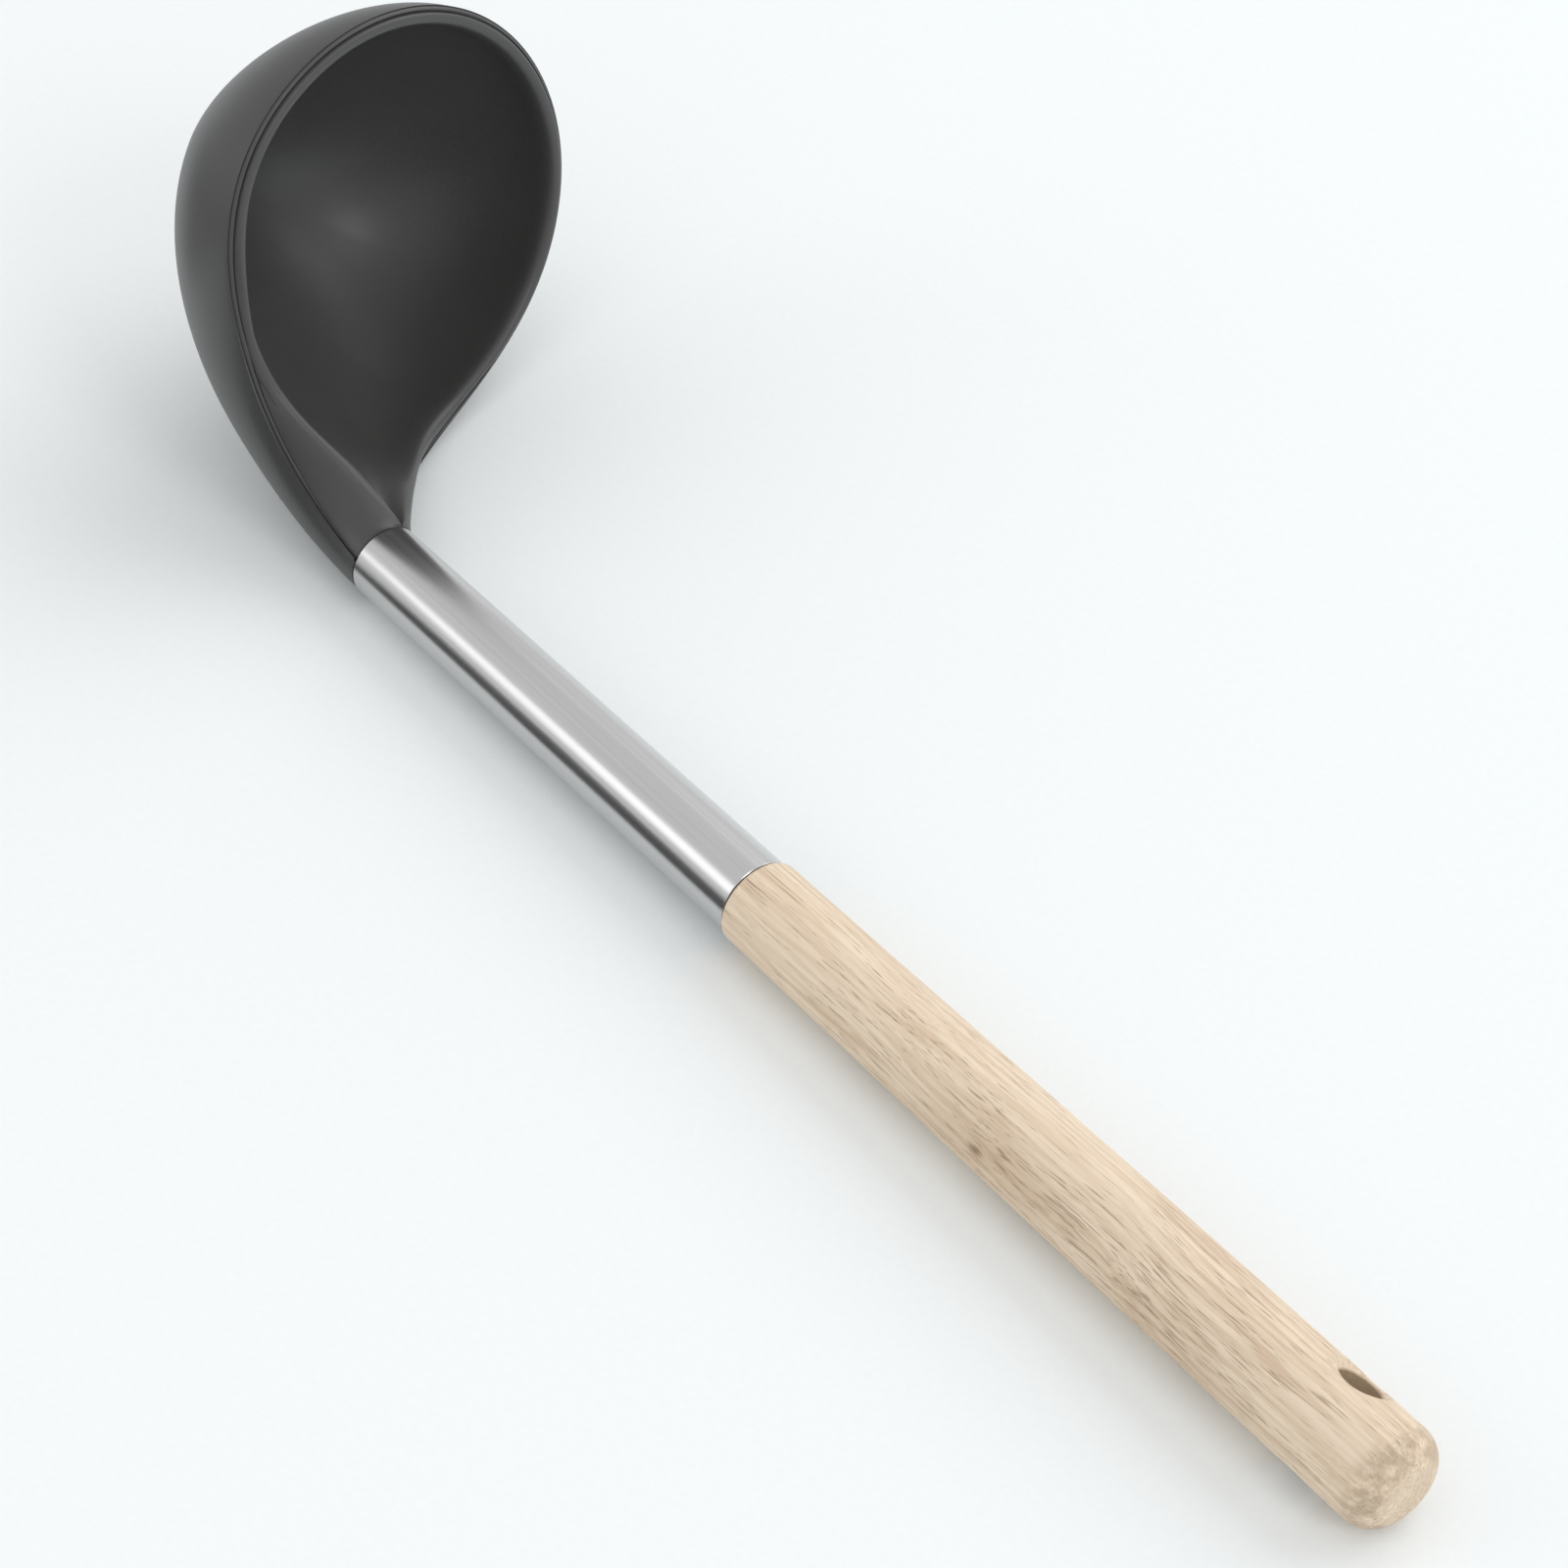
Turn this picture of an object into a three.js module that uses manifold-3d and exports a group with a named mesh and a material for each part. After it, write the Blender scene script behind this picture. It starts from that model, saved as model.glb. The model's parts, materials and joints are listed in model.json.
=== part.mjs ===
// A serving ladle that lies on a table: silicone head over a nylon core, steel tube, wooden handle.
// Millimetres, +Z up. The ladle is built upright in its own frame: the tube's mouth is the origin,
// +X runs along the handle to its end, and +Z is the side on which the bowl stands off the axis.
// At the end it is laid down on its side, as it comes to rest, and centred over the origin.

import * as THREE from 'three';
import { mergeVertices } from 'three/addons/utils/BufferGeometryUtils.js';
import Module from 'manifold-3d';

const wasm = await Module();
wasm.setup();

// Bowl
const BOWL_RADIUS = 43.6;            // round front of the mouth, at the parting line
const BOWL_DEPTH = 42.7;             // parting plane to the outside of the bottom
const BOWL_REACH = 41.5;             // mouth centre beyond the tube, along the handle axis
const BOWL_OFFSET = 51.8;            // mouth centre above the handle axis
const BOWL_TILT = degrees(11.1);     // how far the mouth looks up from the handle axis
const BOTTOM_FULLNESS = 0.38;        // share of the radius over which the bottom leaves level
const WALL_FULLNESS = 0.345;         // share of the depth over which the front leaves upright
const BACK_FULLNESS = 0.545;         // the bottom's share towards the neck
const RIB_FULLNESS = 0.52;           // roundness of the walls across the bowl
const THROAT_PULL = 32;              // how far the back runs along the handle before the neck
const BOTTOM_WALL = 4;               // thickness of the bottom, skin and core together

// Mouth: a round front that draws in to the neck
const FRONT_ARC = degrees(67.5);     // half of the mouth's true arc
const FRONT_PULL = 41.6;             // how far the side carries on along the arc's tangent
const NECK_PULL = 27;                // how far the side runs along the handle before the neck
const NECK_TURN = 3.6;               // how far the parting line winds round the neck on the way

// Lip: a low flat crown over the parting line, then a long bevel down to the inner wall
const CROWN_RISE = 1.7;              // height of the crown over the parting line
const CROWN_OUTSIDE = 1.1;           // from the parting line in to the crown
const CROWN_INSIDE = 3.4;            // from the crown in to the inner wall
const CROWN_DROP = 6;                // from the crown down to where the inner wall is upright
const LIP_SWEEP = degrees(165);      // how far round the crown goes before the inner wall starts
const PARTING_STEP = 0.35;           // the lip stands proud of the outer wall by this

// Neck
const NECK_RADIUS = 7.3;
const NECK_STRAIGHT = 1;
const PARTING_AT_NECK = degrees(95); // where the parting line meets the neck, from the top
const TURNING_FROM = 0.45;           // the station at which the lip starts to turn to the neck
const SPREAD_FROM = 0.66;            // the station at which the lip starts to open into the neck
const RIDGE_PULL = 15.5;             // how far the two lips carry on along the neck as ridges

// Core
const SKIN_THICKNESS = 1.3;          // silicone over the core, with the moulding clearance
const CORE_NECK_LENGTH = 4;          // plain round bar inside the neck, behind its straight part
const CORE_NECK_SHOULDER = 0.3;      // the bar is slimmer than the moulding round it by this
const TANG_LENGTH = 38;
const FLUTE_COUNT = 4;
const FLUTE_RADIUS = 2.2;
const COLLAR_LENGTH = 5;             // plain part of the tang, at the tube's mouth

// Tube
const TUBE_LENGTH = 114;
const TUBE_FRONT_RADIUS = 7.45;
const TUBE_REAR_RADIUS = 7.85;
const TUBE_WALL = 0.7;

// Handle
const HANDLE_LENGTH = 161;
const HANDLE_FRONT_RADIUS = 8.4;
const HANDLE_END_RADIUS = 9.4;
const SLENDER_SHARE = 0.3;           // share of the length over which the front stays slender
const FULL_SHARE = 0.4;              // share of the length over which the end is nearly full
const SHOULDER_ROUNDING = 0.9;
const END_ROUNDING = 5.6;
const TENON_LENGTH = 30;
const TENON_CHAMFER = 1.2;
const HOLE_RADIUS = 4;
const HOLE_FROM_END = 17;
const HOLE_ROUNDING = 0.7;

// Fits
const CLEARANCE = 0.3;               // between pieces that are moulded, glued or pushed together
const CUT_THROUGH = 2;               // how far a cutter reaches out of what it cuts

// Fineness
const SIDE_STEPS = 26;               // stations from the mouth's front to the neck, on one side
const OUTER_ROWS = 13;
const LIP_ROWS = 6;
const INNER_ROWS = 13;
const CORE_SIDE_STEPS = 17;
const CORE_OUTER_ROWS = 11;
const CORE_LIP_ROWS = 4;
const CORE_INNER_ROWS = 10;
const TURN_STEPS = 48;               // sides of the tube and the handle
const CORE_TURN_STEPS = 32;
const HOLE_STEPS = 24;
const FLUTE_STEPS = 12;
const PROFILE_STEPS = 6;             // steps of each rounding in the handle's profile
const ARC_SHARE = 0.36;              // share of the stations that lie on the mouth's front arc
const SHORT_OF_END = 0.99;           // share of the lip at which its last direction is taken
const HALVINGS = 30;                 // steps of a search by halves
const WELD = 1e-3;                   // points nearer than this are one

const ALONG = new THREE.Vector3(1, 0, 0);

function degrees(angle) {
  return THREE.MathUtils.degToRad(angle);
}

// Solids

function toSolid(geometry) {
  const bare = geometry.clone();
  bare.deleteAttribute('normal');
  bare.deleteAttribute('uv');
  const merged = mergeVertices(bare, WELD / 10);
  return new wasm.Manifold(new wasm.Mesh({
    numProp: 3,
    vertProperties: new Float32Array(merged.attributes.position.array),
    triVerts: new Uint32Array(merged.index.array),
  }));
}

function toGeometry(solid) {
  const mesh = solid.getMesh();
  const geometry = new THREE.BufferGeometry();
  geometry.setAttribute('position', new THREE.BufferAttribute(mesh.vertProperties, 3));
  geometry.setIndex(new THREE.BufferAttribute(mesh.triVerts, 1));
  return geometry;
}

// A solid turned about the handle axis, from a profile of (radius, distance along the axis).
function turned(profile) {
  return new THREE.LatheGeometry(profile, TURN_STEPS).rotateZ(-Math.PI / 2);
}

// A plain round bar along the handle axis.
function bar(radius, from, to, steps) {
  const length = to - from;
  return new THREE.CylinderGeometry(radius, radius, length, steps)
    .rotateZ(-Math.PI / 2)
    .translate(from + length / 2, 0, 0);
}

// The bowl's own directions

const FORWARD = new THREE.Vector3(-Math.sin(BOWL_TILT), 0, Math.cos(BOWL_TILT));
const OPENING = new THREE.Vector3(Math.cos(BOWL_TILT), 0, Math.sin(BOWL_TILT));
const MOUTH_CENTRE = new THREE.Vector3(-BOWL_REACH, 0, BOWL_OFFSET);

// A point of the bowl: forward from its centre, across, and out of the mouth.
function bowlPoint(forward, across, out) {
  return MOUTH_CENTRE.clone()
    .addScaledVector(FORWARD, forward)
    .addScaledVector(OPENING, out)
    .add(new THREE.Vector3(0, across, 0));
}

// A point of the neck's ring, by its angle from the top.
function neckPoint(angle, radius) {
  return new THREE.Vector3(-NECK_STRAIGHT, radius * Math.sin(angle), radius * Math.cos(angle));
}

// Parting line: from the front of the mouth (station 0) to the neck (station 1), on the +Y side

const ARC_END = bowlPoint(BOWL_RADIUS * Math.cos(FRONT_ARC), BOWL_RADIUS * Math.sin(FRONT_ARC), 0);
const ARC_TANGENT = FORWARD.clone()
  .multiplyScalar(-Math.sin(FRONT_ARC))
  .add(new THREE.Vector3(0, Math.cos(FRONT_ARC), 0));
const PARTING_END = neckPoint(PARTING_AT_NECK, NECK_RADIUS);
const ROUND_NECK = new THREE.Vector3(0, -Math.cos(PARTING_AT_NECK), Math.sin(PARTING_AT_NECK));
const MOUTH_SIDE = new THREE.CubicBezierCurve3(
  ARC_END,
  ARC_END.clone().addScaledVector(ARC_TANGENT, FRONT_PULL),
  PARTING_END.clone().addScaledVector(ALONG, -NECK_PULL).addScaledVector(ROUND_NECK, NECK_TURN),
  PARTING_END,
);

function partingPoint(station) {
  if (station > ARC_SHARE) {
    return MOUTH_SIDE.getPoint((station - ARC_SHARE) / (1 - ARC_SHARE));
  }
  const angle = FRONT_ARC * station / ARC_SHARE;
  return bowlPoint(BOWL_RADIUS * Math.cos(angle), BOWL_RADIUS * Math.sin(angle), 0);
}

function partingTangent(station) {
  if (station > ARC_SHARE) {
    return MOUTH_SIDE.getTangent((station - ARC_SHARE) / (1 - ARC_SHARE));
  }
  const angle = FRONT_ARC * station / ARC_SHARE;
  return FORWARD.clone()
    .multiplyScalar(-Math.sin(angle))
    .add(new THREE.Vector3(0, Math.cos(angle), 0));
}

// Directions at a station: up the lip, and outwards from the mouth.
function stationFrame(station) {
  const tangent = partingTangent(station);
  const up = OPENING.clone().lerp(ROUND_NECK, THREE.MathUtils.smoothstep(station, TURNING_FROM, 1));
  up.addScaledVector(tangent, -up.dot(tangent)).normalize();
  const outward = up.clone().cross(tangent).normalize();
  return { up, outward };
}

// The lip, from the parting line (share 0) over its crown to where the inner wall starts (share 1).
// Near the neck it rises into a ridge on each side, and opens out into the neck's own round.
function lipPoint(station, share) {
  const { up, outward } = stationFrame(station);
  const sweep = LIP_SWEEP * share;
  const inside = sweep > Math.PI / 2;
  const inwards = CROWN_OUTSIDE - Math.cos(sweep) * (inside ? CROWN_INSIDE : CROWN_OUTSIDE);
  const upwards = CROWN_RISE - (1 - Math.sin(sweep)) * (inside ? CROWN_DROP : CROWN_RISE);
  const crown = up.multiplyScalar(upwards).addScaledVector(outward, -inwards);
  const neck = neckPoint(PARTING_AT_NECK * (1 - share), NECK_RADIUS).sub(PARTING_END);
  const spread = THREE.MathUtils.clamp((station - SPREAD_FROM) / (1 - SPREAD_FROM), 0, 1);
  const ridge = 3 * spread ** 2 * (1 - spread) * share;
  return partingPoint(station)
    .add(crown.lerp(neck, THREE.MathUtils.smoothstep(spread, 0, 1)))
    .addScaledVector(ALONG, RIDGE_PULL * ridge);
}

// Keel line of a wall: from the front of the mouth, under the bottom, and up the back to the neck.
function keelLine(front, bottom, neck) {
  const radius = front.clone().sub(bottom).dot(FORWARD);
  const depth = front.clone().sub(bottom).dot(OPENING);
  const back = bottom.clone().sub(neck).dot(FORWARD);
  const frontHalf = new THREE.CubicBezierCurve3(
    front,
    front.clone().addScaledVector(OPENING, -WALL_FULLNESS * depth),
    bottom.clone().addScaledVector(FORWARD, BOTTOM_FULLNESS * radius),
    bottom,
  );
  const backHalf = new THREE.CubicBezierCurve3(
    bottom,
    bottom.clone().addScaledVector(FORWARD, -BACK_FULLNESS * back),
    neck.clone().addScaledVector(ALONG, -THROAT_PULL),
    neck,
  );
  return { frontHalf, backHalf, bottom };
}

// The keel point that lies a given way forward of the bowl's bottom.
function keelPoint(keel, forward) {
  const curve = forward > 0 ? keel.frontHalf : keel.backHalf;
  let [low, high] = [0, 1];
  for (let i = 0; i < HALVINGS; i += 1) {
    const share = (low + high) / 2;
    if (curve.getPoint(share).sub(keel.bottom).dot(FORWARD) > forward) {
      low = share;
    } else {
      high = share;
    }
  }
  return curve.getPoint(low).setY(0);
}

// Ribs of a wall, one a station, from its keel up to its edge. `downwards` holds the direction in
// which the wall leaves its edge at each station.
function wallRibs(edge, keel, downwards) {
  const forwardOf = (point) => point.clone().sub(keel.bottom).dot(FORWARD);
  const last = edge.length - 1;
  const stretch = forwardOf(keel.backHalf.v3) / forwardOf(edge[last]);
  return edge.map((point, i) => {
    const forward = forwardOf(point);
    const down = downwards[i];
    let foot = keelPoint(keel, forward > 0 ? forward : forward * stretch);
    if (i === 0) {
      foot = keel.frontHalf.v0;
    }
    if (i === last) {
      foot = keel.backHalf.v3;
    }
    return new THREE.CubicBezierCurve3(
      foot,
      foot.clone().add(new THREE.Vector3(0, RIB_FULLNESS * point.y, 0)),
      point.clone().addScaledVector(down, RIB_FULLNESS * foot.clone().sub(point).dot(down)),
      point,
    );
  });
}

// Rows of points of the half skin on the +Y side. Each row runs over the stations.
function halfSkin(sideSteps, outerRows, lipRows, innerRows, step) {
  const stations = Array.from({ length: sideSteps + 1 }, (_, i) => i / sideSteps);
  const frames = stations.map(stationFrame);
  const rows = (count, pointOf) => Array.from({ length: count + 1 }, (_, i) => pointOf(i / count));
  const lip = rows(lipRows, (share) => stations.map((station) => lipPoint(station, share)));

  const outerEdge = stations.map((station, i) => partingPoint(station)
    .addScaledVector(frames[i].outward, -step));
  const outerKeel = keelLine(
    outerEdge[0],
    bowlPoint(0, 0, -BOWL_DEPTH),
    neckPoint(Math.PI, NECK_RADIUS - step).setY(0),
  );
  const outerRibs = wallRibs(outerEdge, outerKeel, frames.map(({ up }) => up.clone().negate()));

  const innerEdge = lip[lipRows].map((point) => point.clone());
  const innerBottom = bowlPoint(0, 0, BOTTOM_WALL - BOWL_DEPTH);
  const innerKeel = keelLine(innerEdge[0], innerBottom, innerEdge[sideSteps]);
  const intoBowl = stations.map((station, i) => innerEdge[i].clone()
    .sub(lipPoint(station, SHORT_OF_END))
    .normalize());
  const innerRibs = wallRibs(innerEdge, innerKeel, intoBowl);

  const outer = rows(outerRows, (share) => outerRibs.map((rib) => rib.getPoint(share)));
  const inner = rows(innerRows, (share) => innerRibs.map((rib) => rib.getPoint(1 - share)));
  const ring = outer.concat(lip).map((row) => row[sideSteps]);
  const mouthRing = ring.map((point) => point.clone().setX(-CLEARANCE));
  const mouthCentre = ring.map(() => new THREE.Vector3(-CLEARANCE, 0, 0));
  return [outer, [outer[outerRows], lip[0]], lip, inner, [mouthCentre, mouthRing, ring]];
}

// The closed outer surface of the whole head: both halves, sewn together.
function headSurface(sideSteps, outerRows, lipRows, innerRows, step) {
  const positions = [];
  const triangle = (a, b, c) => {
    if (a.distanceTo(b) > WELD && b.distanceTo(c) > WELD && c.distanceTo(a) > WELD) {
      positions.push(...a.toArray(), ...b.toArray(), ...c.toArray());
      positions.push(a.x, -a.y, a.z, c.x, -c.y, c.z, b.x, -b.y, b.z);
    }
  };
  for (const patch of halfSkin(sideSteps, outerRows, lipRows, innerRows, step)) {
    for (let i = 0; i < patch.length - 1; i += 1) {
      for (let j = 0; j < patch[i].length - 1; j += 1) {
        triangle(patch[i][j], patch[i + 1][j + 1], patch[i][j + 1]);
        triangle(patch[i][j], patch[i + 1][j], patch[i + 1][j + 1]);
      }
    }
  }
  const geometry = new THREE.BufferGeometry();
  geometry.setAttribute('position', new THREE.Float32BufferAttribute(positions, 3));
  return mergeVertices(geometry, WELD);
}

// The head's surface moved inwards by a distance, all over.
function sunkSurface(depth) {
  const surface = headSurface(CORE_SIDE_STEPS, CORE_OUTER_ROWS, CORE_LIP_ROWS, CORE_INNER_ROWS, 0);
  surface.computeVertexNormals();
  const { position, normal } = surface.attributes;
  for (let i = 0; i < position.count; i += 1) {
    position.setXYZ(
      i,
      position.getX(i) - depth * normal.getX(i),
      position.getY(i) - depth * normal.getY(i),
      position.getZ(i) - depth * normal.getZ(i),
    );
  }
  return surface;
}

// Pieces

const CORE_NECK_RADIUS = NECK_RADIUS - SKIN_THICKNESS - CORE_NECK_SHOULDER;
const CORE_NECK_START = -NECK_STRAIGHT - CORE_NECK_LENGTH;
const TUBE_BORE = TUBE_FRONT_RADIUS - TUBE_WALL;

function siliconeHead() {
  const skin = toSolid(headSurface(SIDE_STEPS, OUTER_ROWS, LIP_ROWS, INNER_ROWS, PARTING_STEP));
  const coreSpace = toSolid(sunkSurface(SKIN_THICKNESS - CLEARANCE));
  const neckSpace = toSolid(
    bar(CORE_NECK_RADIUS + CLEARANCE, CORE_NECK_START, CUT_THROUGH, CORE_TURN_STEPS),
  );
  return toGeometry(skin.subtract(coreSpace.add(neckSpace)));
}

function nylonCore() {
  const bowl = toSolid(sunkSurface(SKIN_THICKNESS));
  const neck = toSolid(bar(CORE_NECK_RADIUS, CORE_NECK_START, CLEARANCE, CORE_TURN_STEPS));
  let tang = toSolid(bar(TUBE_BORE - CLEARANCE, 0, TANG_LENGTH, CORE_TURN_STEPS));
  for (let i = 0; i < FLUTE_COUNT; i += 1) {
    const angle = (i + 0.5) * 2 * Math.PI / FLUTE_COUNT;
    const flute = bar(FLUTE_RADIUS, COLLAR_LENGTH, TANG_LENGTH + CUT_THROUGH, FLUTE_STEPS);
    flute.translate(0, TUBE_BORE * Math.sin(angle), TUBE_BORE * Math.cos(angle));
    tang = tang.subtract(toSolid(flute));
  }
  return toGeometry(bowl.add(neck).add(tang));
}

function steelTube() {
  const profile = new THREE.Path();
  const chamfer = TUBE_WALL / 3;
  profile.moveTo(TUBE_FRONT_RADIUS - TUBE_WALL, 0);
  profile.lineTo(TUBE_FRONT_RADIUS - chamfer, 0);
  profile.lineTo(TUBE_FRONT_RADIUS, chamfer);
  profile.lineTo(TUBE_REAR_RADIUS, TUBE_LENGTH - chamfer);
  profile.lineTo(TUBE_REAR_RADIUS - chamfer, TUBE_LENGTH);
  profile.lineTo(TUBE_REAR_RADIUS - TUBE_WALL, TUBE_LENGTH);
  profile.closePath();
  return turned(profile.getPoints());
}

function woodenHandle() {
  const shoulder = TUBE_LENGTH + CLEARANCE;
  const end = shoulder + HANDLE_LENGTH;
  const tenonEnd = shoulder - TENON_LENGTH;
  const tubeRadiusThere = THREE.MathUtils.mapLinear(
    tenonEnd, 0, TUBE_LENGTH, TUBE_FRONT_RADIUS, TUBE_REAR_RADIUS,
  );
  const tenonRadius = tubeRadiusThere - TUBE_WALL - CLEARANCE;
  const swell = HANDLE_END_RADIUS - HANDLE_FRONT_RADIUS;
  const profile = new THREE.Path();
  profile.moveTo(0, tenonEnd);
  profile.lineTo(tenonRadius - TENON_CHAMFER, tenonEnd);
  profile.lineTo(tenonRadius, tenonEnd + TENON_CHAMFER);
  profile.lineTo(tenonRadius, shoulder);
  profile.lineTo(HANDLE_FRONT_RADIUS - SHOULDER_ROUNDING, shoulder);
  profile.quadraticCurveTo(
    HANDLE_FRONT_RADIUS, shoulder,
    HANDLE_FRONT_RADIUS, shoulder + SHOULDER_ROUNDING,
  );
  profile.bezierCurveTo(
    HANDLE_FRONT_RADIUS + swell * SLENDER_SHARE, shoulder + HANDLE_LENGTH * SLENDER_SHARE,
    HANDLE_END_RADIUS, end - HANDLE_LENGTH * FULL_SHARE,
    HANDLE_END_RADIUS, end - END_ROUNDING,
  );
  profile.absarc(HANDLE_END_RADIUS - END_ROUNDING, end - END_ROUNDING, END_ROUNDING, 0, Math.PI / 2);
  profile.lineTo(0, end);
  const stick = toSolid(turned(profile.getPoints(PROFILE_STEPS)));
  return toGeometry(stick.subtract(toSolid(hangingHole(end - HOLE_FROM_END))));
}

// The drill's path through the handle, opened out where it leaves the wood.
function hangingHole(along) {
  const surface = Math.sqrt(HANDLE_END_RADIUS ** 2 - HOLE_RADIUS ** 2);
  const outside = HANDLE_END_RADIUS + CUT_THROUGH;
  const flare = HOLE_RADIUS + HOLE_ROUNDING + outside - surface;
  const profile = new THREE.Path();
  profile.moveTo(0, -outside);
  profile.lineTo(flare, -outside);
  profile.lineTo(HOLE_RADIUS, HOLE_ROUNDING - surface);
  profile.lineTo(HOLE_RADIUS, surface - HOLE_ROUNDING);
  profile.lineTo(flare, outside);
  profile.lineTo(0, outside);
  return new THREE.LatheGeometry(profile.getPoints(), HOLE_STEPS)
    .rotateX(Math.PI / 2)
    .translate(along, 0, 0);
}

// Materials

const silicone = new THREE.MeshStandardMaterial({ color: 0x3b3b3c, roughness: 0.62, metalness: 0 });
const nylon = new THREE.MeshStandardMaterial({ color: 0x26272a, roughness: 0.5, metalness: 0 });
const steel = new THREE.MeshStandardMaterial({ color: 0xc4c6c9, roughness: 0.28, metalness: 1 });
const wood = new THREE.MeshStandardMaterial({ color: 0xd9bf9c, roughness: 0.6, metalness: 0 });

function piece(name, geometry, material) {
  const mesh = new THREE.Mesh(geometry, material);
  mesh.name = name;
  return mesh;
}

const ladle = new THREE.Group();
ladle.add(
  piece('silicone_head', siliconeHead(), silicone),
  piece('nylon_core', nylonCore(), nylon),
  piece('steel_tube', steelTube(), steel),
  piece('wooden_handle', woodenHandle(), wood),
);

// Laying it down: the handle lies along the table, and the ladle rolls over until the bowl's
// side meets the table too.

const LIFT = Math.atan(
  (HANDLE_END_RADIUS - TUBE_FRONT_RADIUS) / (TUBE_LENGTH + HANDLE_LENGTH - END_ROUNDING),
);

function lowestPoint(mesh, roll) {
  const pose = new THREE.Matrix4()
    .makeRotationY(-LIFT)
    .multiply(new THREE.Matrix4().makeRotationX(-roll));
  const points = mesh.geometry.attributes.position.clone().applyMatrix4(pose);
  return new THREE.Box3().setFromBufferAttribute(points).min.z;
}

// The roll at which the head, clear of the table when upright, comes down to the handle's level.
function restingRoll() {
  const [head, , , handle] = ladle.children;
  let [clear, touching] = [0, Math.PI / 2];
  for (let i = 0; i < HALVINGS; i += 1) {
    const roll = (clear + touching) / 2;
    if (lowestPoint(head, roll) > lowestPoint(handle, roll)) {
      clear = roll;
    } else {
      touching = roll;
    }
  }
  return clear;
}

ladle.rotation.x = -restingRoll();
const lying = new THREE.Group();
lying.rotation.y = -LIFT;
lying.add(ladle);

const part = new THREE.Group();
part.add(lying);
part.updateMatrixWorld(true);
const bounds = new THREE.Box3().setFromObject(part, true);
const middle = bounds.getCenter(new THREE.Vector3());
lying.position.set(-middle.x, -middle.y, -bounds.min.z);
part.updateMatrixWorld(true);

export default part;
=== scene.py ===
# A serving ladle lying on a pale table: silicone head, satin steel tube and wooden handle.
# Metres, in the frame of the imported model. Pieces are shaped upright in the ladle's own frame,
# where the tube's mouth is the origin, +X runs to the handle's end and +Z is the bowl's side,
# and are then laid down on the table.

import json
import math

import bpy
import numpy
from mathutils import Euler, Matrix, Vector


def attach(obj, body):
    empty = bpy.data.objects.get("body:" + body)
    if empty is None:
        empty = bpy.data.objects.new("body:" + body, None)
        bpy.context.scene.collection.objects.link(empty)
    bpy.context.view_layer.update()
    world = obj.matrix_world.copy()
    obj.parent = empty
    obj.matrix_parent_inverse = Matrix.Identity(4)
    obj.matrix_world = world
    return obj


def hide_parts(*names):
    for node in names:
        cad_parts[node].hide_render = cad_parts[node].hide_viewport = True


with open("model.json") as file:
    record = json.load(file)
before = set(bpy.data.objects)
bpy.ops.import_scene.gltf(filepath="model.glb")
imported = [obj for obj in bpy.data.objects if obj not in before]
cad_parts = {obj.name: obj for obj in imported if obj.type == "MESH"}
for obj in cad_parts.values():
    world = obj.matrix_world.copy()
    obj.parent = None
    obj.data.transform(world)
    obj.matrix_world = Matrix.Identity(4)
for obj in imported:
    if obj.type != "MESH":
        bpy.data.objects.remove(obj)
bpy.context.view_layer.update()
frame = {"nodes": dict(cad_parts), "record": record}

MM = 0.001

# Bowl
BOWL_RADIUS = 43.6 * MM
BOWL_DEPTH = 42.7 * MM
BOWL_REACH = 41.5 * MM
BOWL_OFFSET = 51.8 * MM
BOWL_TILT = math.radians(11.1)
BOTTOM_FULLNESS = 0.38
WALL_FULLNESS = 0.345
BACK_FULLNESS = 0.545
RIB_FULLNESS = 0.52
THROAT_PULL = 32 * MM
BOTTOM_WALL = 4 * MM

# Mouth
FRONT_ARC = math.radians(67.5)
FRONT_PULL = 41.6 * MM
NECK_PULL = 27 * MM
NECK_TURN = 3.6 * MM

# Lip
CROWN_RISE = 1.7 * MM
CROWN_SETBACK = 2.4 * MM
CROWN_OUTSIDE = 1 * MM
CROWN_INSIDE = 2 * MM
OUTSIDE_DROP = 0.8 * MM
INSIDE_DROP = 6 * MM
CROWN_SQUARENESS = 0.75
LIP_SWEEP = math.radians(165)

# Seam between the rounded edge of the body and the lip: places beside the parting line, as
# (outwards, up) in mm, over the groove, the bead and the flat land
WALL_TOP = (-0.35, 0)
SEAM = [
    (-0.38, 0.22), (-0.46, 0.44), (-0.6, 0.65), (-0.78, 0.79), (-0.95, 0.83),
    (-1.05, 0.74), (-1.1, 0.45), (-1.24, 0.45), (-1.32, 0.72),
]
SEAM_DROP = 0.9                     # how far the seam sinks at the neck, in mm
SEAM_AT_NECK = 0.25                 # share of its width that is left there

# Neck. A station is a share of the way along the rim, from the mouth's front to the tube.
NECK_RADIUS = 7.3 * MM
NECK_STRAIGHT = 1 * MM
PARTING_AT_NECK = math.radians(95)
TURNING_FROM = 0.45
SPREAD_FROM = 0.66
SPREAD_POWER = 0.6
RIDGE_PULL = 15.5 * MM

# Softening of the lip and filling of the valley between its two sides, towards the neck
SOFTENING = 3.2 * MM
SOFTENING_STEP = 0.2 * MM
SOFTENING_STARTS = (0.5, 0.75)
SOFTENING_ENDS = (0.86, 0.98)
FILLING = 1.4 * MM
FILLING_STARTS = (0.46, 0.7)
NECK_FILLING = 0.6 * MM
NECK_FILLING_STARTS = (0.7, 0.84)
FILLING_ENDS = (0.84, 0.98)
FILLING_RAMP = 2 * MM

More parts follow.
